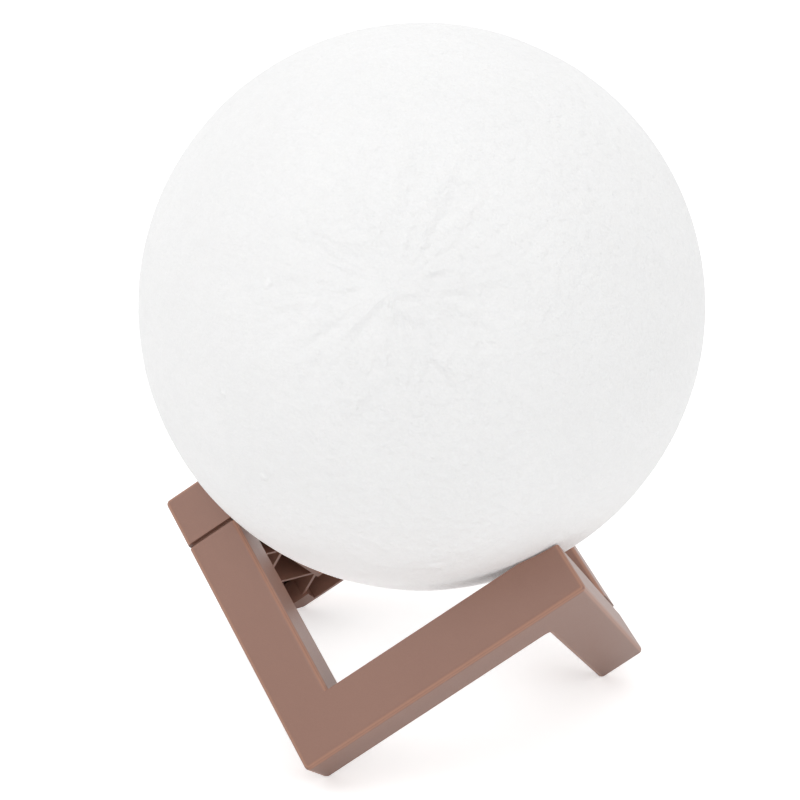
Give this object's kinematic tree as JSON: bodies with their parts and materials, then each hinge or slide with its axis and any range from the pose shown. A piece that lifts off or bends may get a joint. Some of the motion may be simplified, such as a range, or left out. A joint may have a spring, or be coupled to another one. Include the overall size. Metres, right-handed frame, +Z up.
{
  "type": "moon lamp",
  "caption": "Round printed moon lamp resting loose in a two-piece zigzag stand, with a push-button base unit set into its back.",
  "frame": {"origin": "on the floor, straight below the centre of the moon", "axes": "+Z up; -Y towards the stand's front foot; +X to the right, towards the front half's back foot; the base unit faces +Y, turned towards -X and dipped below level"},
  "size_m": [0.15, 0.15, 0.1849],
  "materials": {
    "moon_print": "translucent white printed plastic, fine layered grain and shallow relief",
    "stand_plastic": "brown moulded plastic, fine matte texture, edges slightly glossier",
    "base_plastic": "off-white moulded plastic, satin",
    "cup_plastic": "white moulded plastic, matte",
    "button_plastic": "white moulded plastic, smooth",
    "circuit_board": "green lacquered circuit board with bare pads",
    "light_circuit": "white lacquered circuit board",
    "black_plastic": "black moulded plastic",
    "steel": "bright zinc-plated steel",
    "cell_foil": "silver foil pouch",
    "foam": "dark closed-cell foam",
    "lead_insulation": "soft insulated wire",
    "frosted_plastic": "frosted translucent plastic",
    "light_chip": "yellow phosphor in a white frame",
    "clear_plastic": "clear acrylic"
  },
  "bodies": {
    "stand": {"stand_front_half": "stand_plastic", "stand_rear_half": "stand_plastic"},
    "moon": {"moon_shell": "moon_print", "base_cup": "cup_plastic", "base_cover": "base_plastic", "cover_screws": "steel", "tactile_switch": "black_plastic", "control_board": "circuit_board", "board_screws": "steel", "board_components": "black_plastic", "charging_socket": "steel", "socket_tongue": "black_plastic", "indicator_light": "light_chip", "light_pipe": "clear_plastic", "battery": "cell_foil", "battery_foam": "foam", "battery_leads": "lead_insulation", "light_board": "light_circuit", "light_chips": "light_chip", "light_board_screws": "steel", "light_leads": "lead_insulation", "light_diffuser": "frosted_plastic"},
    "button": {"push_button": "button_plastic", "switch_plunger": "black_plastic"}
  },
  "joints": [
    {"name": "moon_lift", "type": "slide", "parent": "stand", "child": "moon", "axis": [0, 0, 1], "range_m": [0, 0.06]},
    {"name": "button_press", "type": "slide", "parent": "moon", "child": "button", "axis": [0.2353, -0.9164, 0.3239], "range_m": [0, 0.001], "stiffness_N_per_m": 1500}
  ]
}
